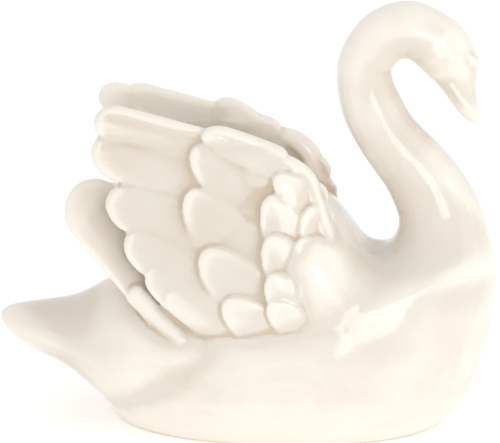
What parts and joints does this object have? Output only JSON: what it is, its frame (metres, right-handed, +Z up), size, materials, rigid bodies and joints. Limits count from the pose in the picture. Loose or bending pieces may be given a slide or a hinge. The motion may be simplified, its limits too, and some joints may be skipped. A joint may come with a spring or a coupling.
{
  "type": "ceramic swan figurine",
  "caption": "Glazed ceramic swan ornament, cast in one piece on a flat underside, with raised feathered wings and an arched neck.",
  "frame": {"origin": "middle of the flat oval underside that the swan stands on", "axes": "+X to where the swan faces, +Z up, Y across the wings"},
  "size_m": [0.2007, 0.0894, 0.1715],
  "materials": {
    "glazed_body": "glossy warm ivory glaze"
  },
  "bodies": {
    "root": {"swan": "glazed_body"}
  },
  "joints": []
}
